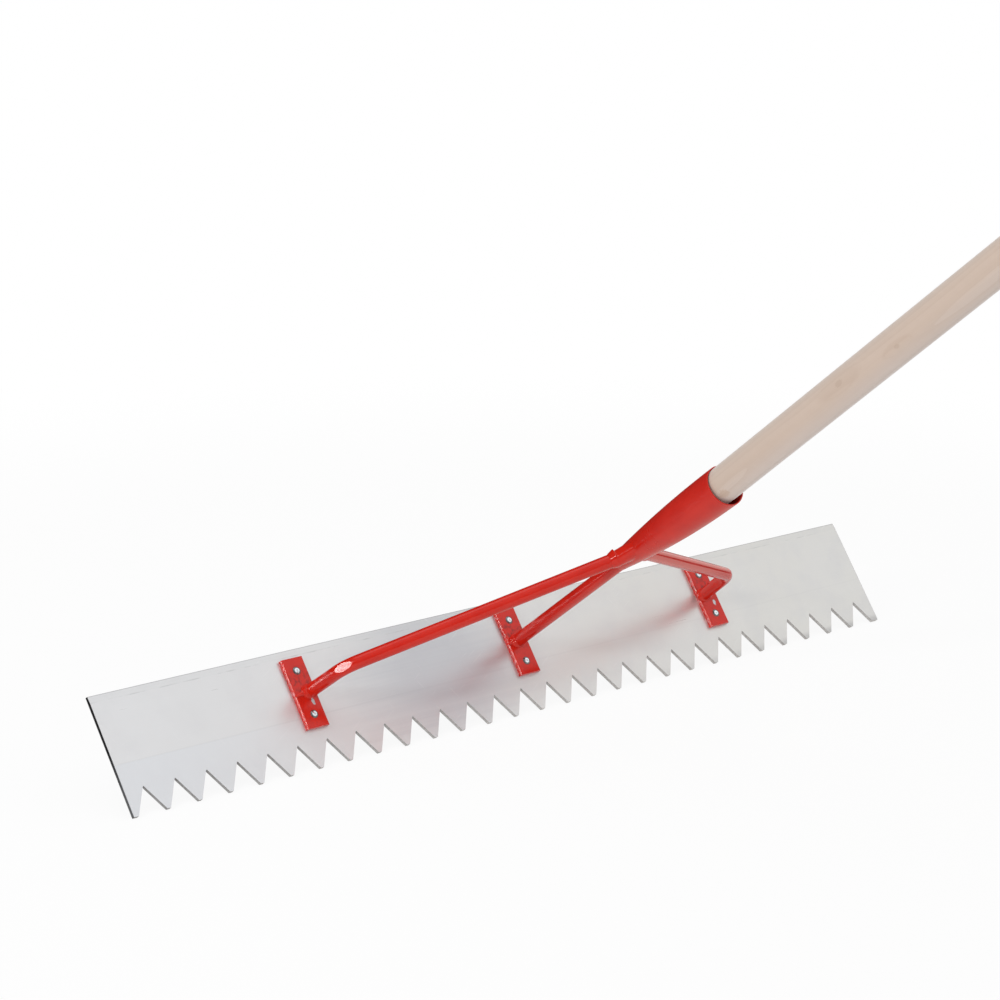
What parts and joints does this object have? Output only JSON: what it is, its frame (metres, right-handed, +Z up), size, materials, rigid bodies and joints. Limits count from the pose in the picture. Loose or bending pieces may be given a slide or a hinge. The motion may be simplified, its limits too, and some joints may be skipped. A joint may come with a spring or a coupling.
{
  "type": "levelling rake",
  "caption": "Wide levelling rake with a toothed aluminium blade riveted to a red welded tube bracket, whose rolled socket holds a long round wooden handle.",
  "frame": {"origin": "on the ground line under the back edge of the tooth tips, at the middle of the tooth row, in the working pose", "axes": "+X along the blade to the user's right, -Y towards the user who holds the handle, +Z up; the blade leans forward by 37 degrees"},
  "size_m": [1, 1.5136, 1.2049],
  "materials": {
    "blade_alloy": "mill finish, semi-matt with soft reflections",
    "red_paint": "glossy red paint",
    "handle_wood": "plain sanded pale wood",
    "rivet_alloy": "bright",
    "rivet_steel": "plain",
    "screw_steel": "zinc plated"
  },
  "bodies": {
    "root": {"toothed_blade": "blade_alloy", "centre_tube": "red_paint", "plate_left": "red_paint", "rivet_left_upper": "rivet_alloy", "rivet_pin_left_upper": "rivet_steel", "rivet_left_lower": "rivet_alloy", "rivet_pin_left_lower": "rivet_steel", "plate_centre": "red_paint", "rivet_centre_upper": "rivet_alloy", "rivet_pin_centre_upper": "rivet_steel", "rivet_centre_lower": "rivet_alloy", "rivet_pin_centre_lower": "rivet_steel", "plate_right": "red_paint", "rivet_right_upper": "rivet_alloy", "rivet_pin_right_upper": "rivet_steel", "rivet_right_lower": "rivet_alloy", "rivet_pin_right_lower": "rivet_steel", "brace_left": "red_paint", "weld_foot_left": "red_paint", "weld_neck_left": "red_paint", "brace_right": "red_paint", "weld_foot_right": "red_paint", "weld_neck_right": "red_paint", "weld_foot_centre": "red_paint", "weld_neck_centre": "red_paint", "handle_socket": "red_paint", "handle": "handle_wood", "handle_screw": "screw_steel"}
  },
  "joints": []
}
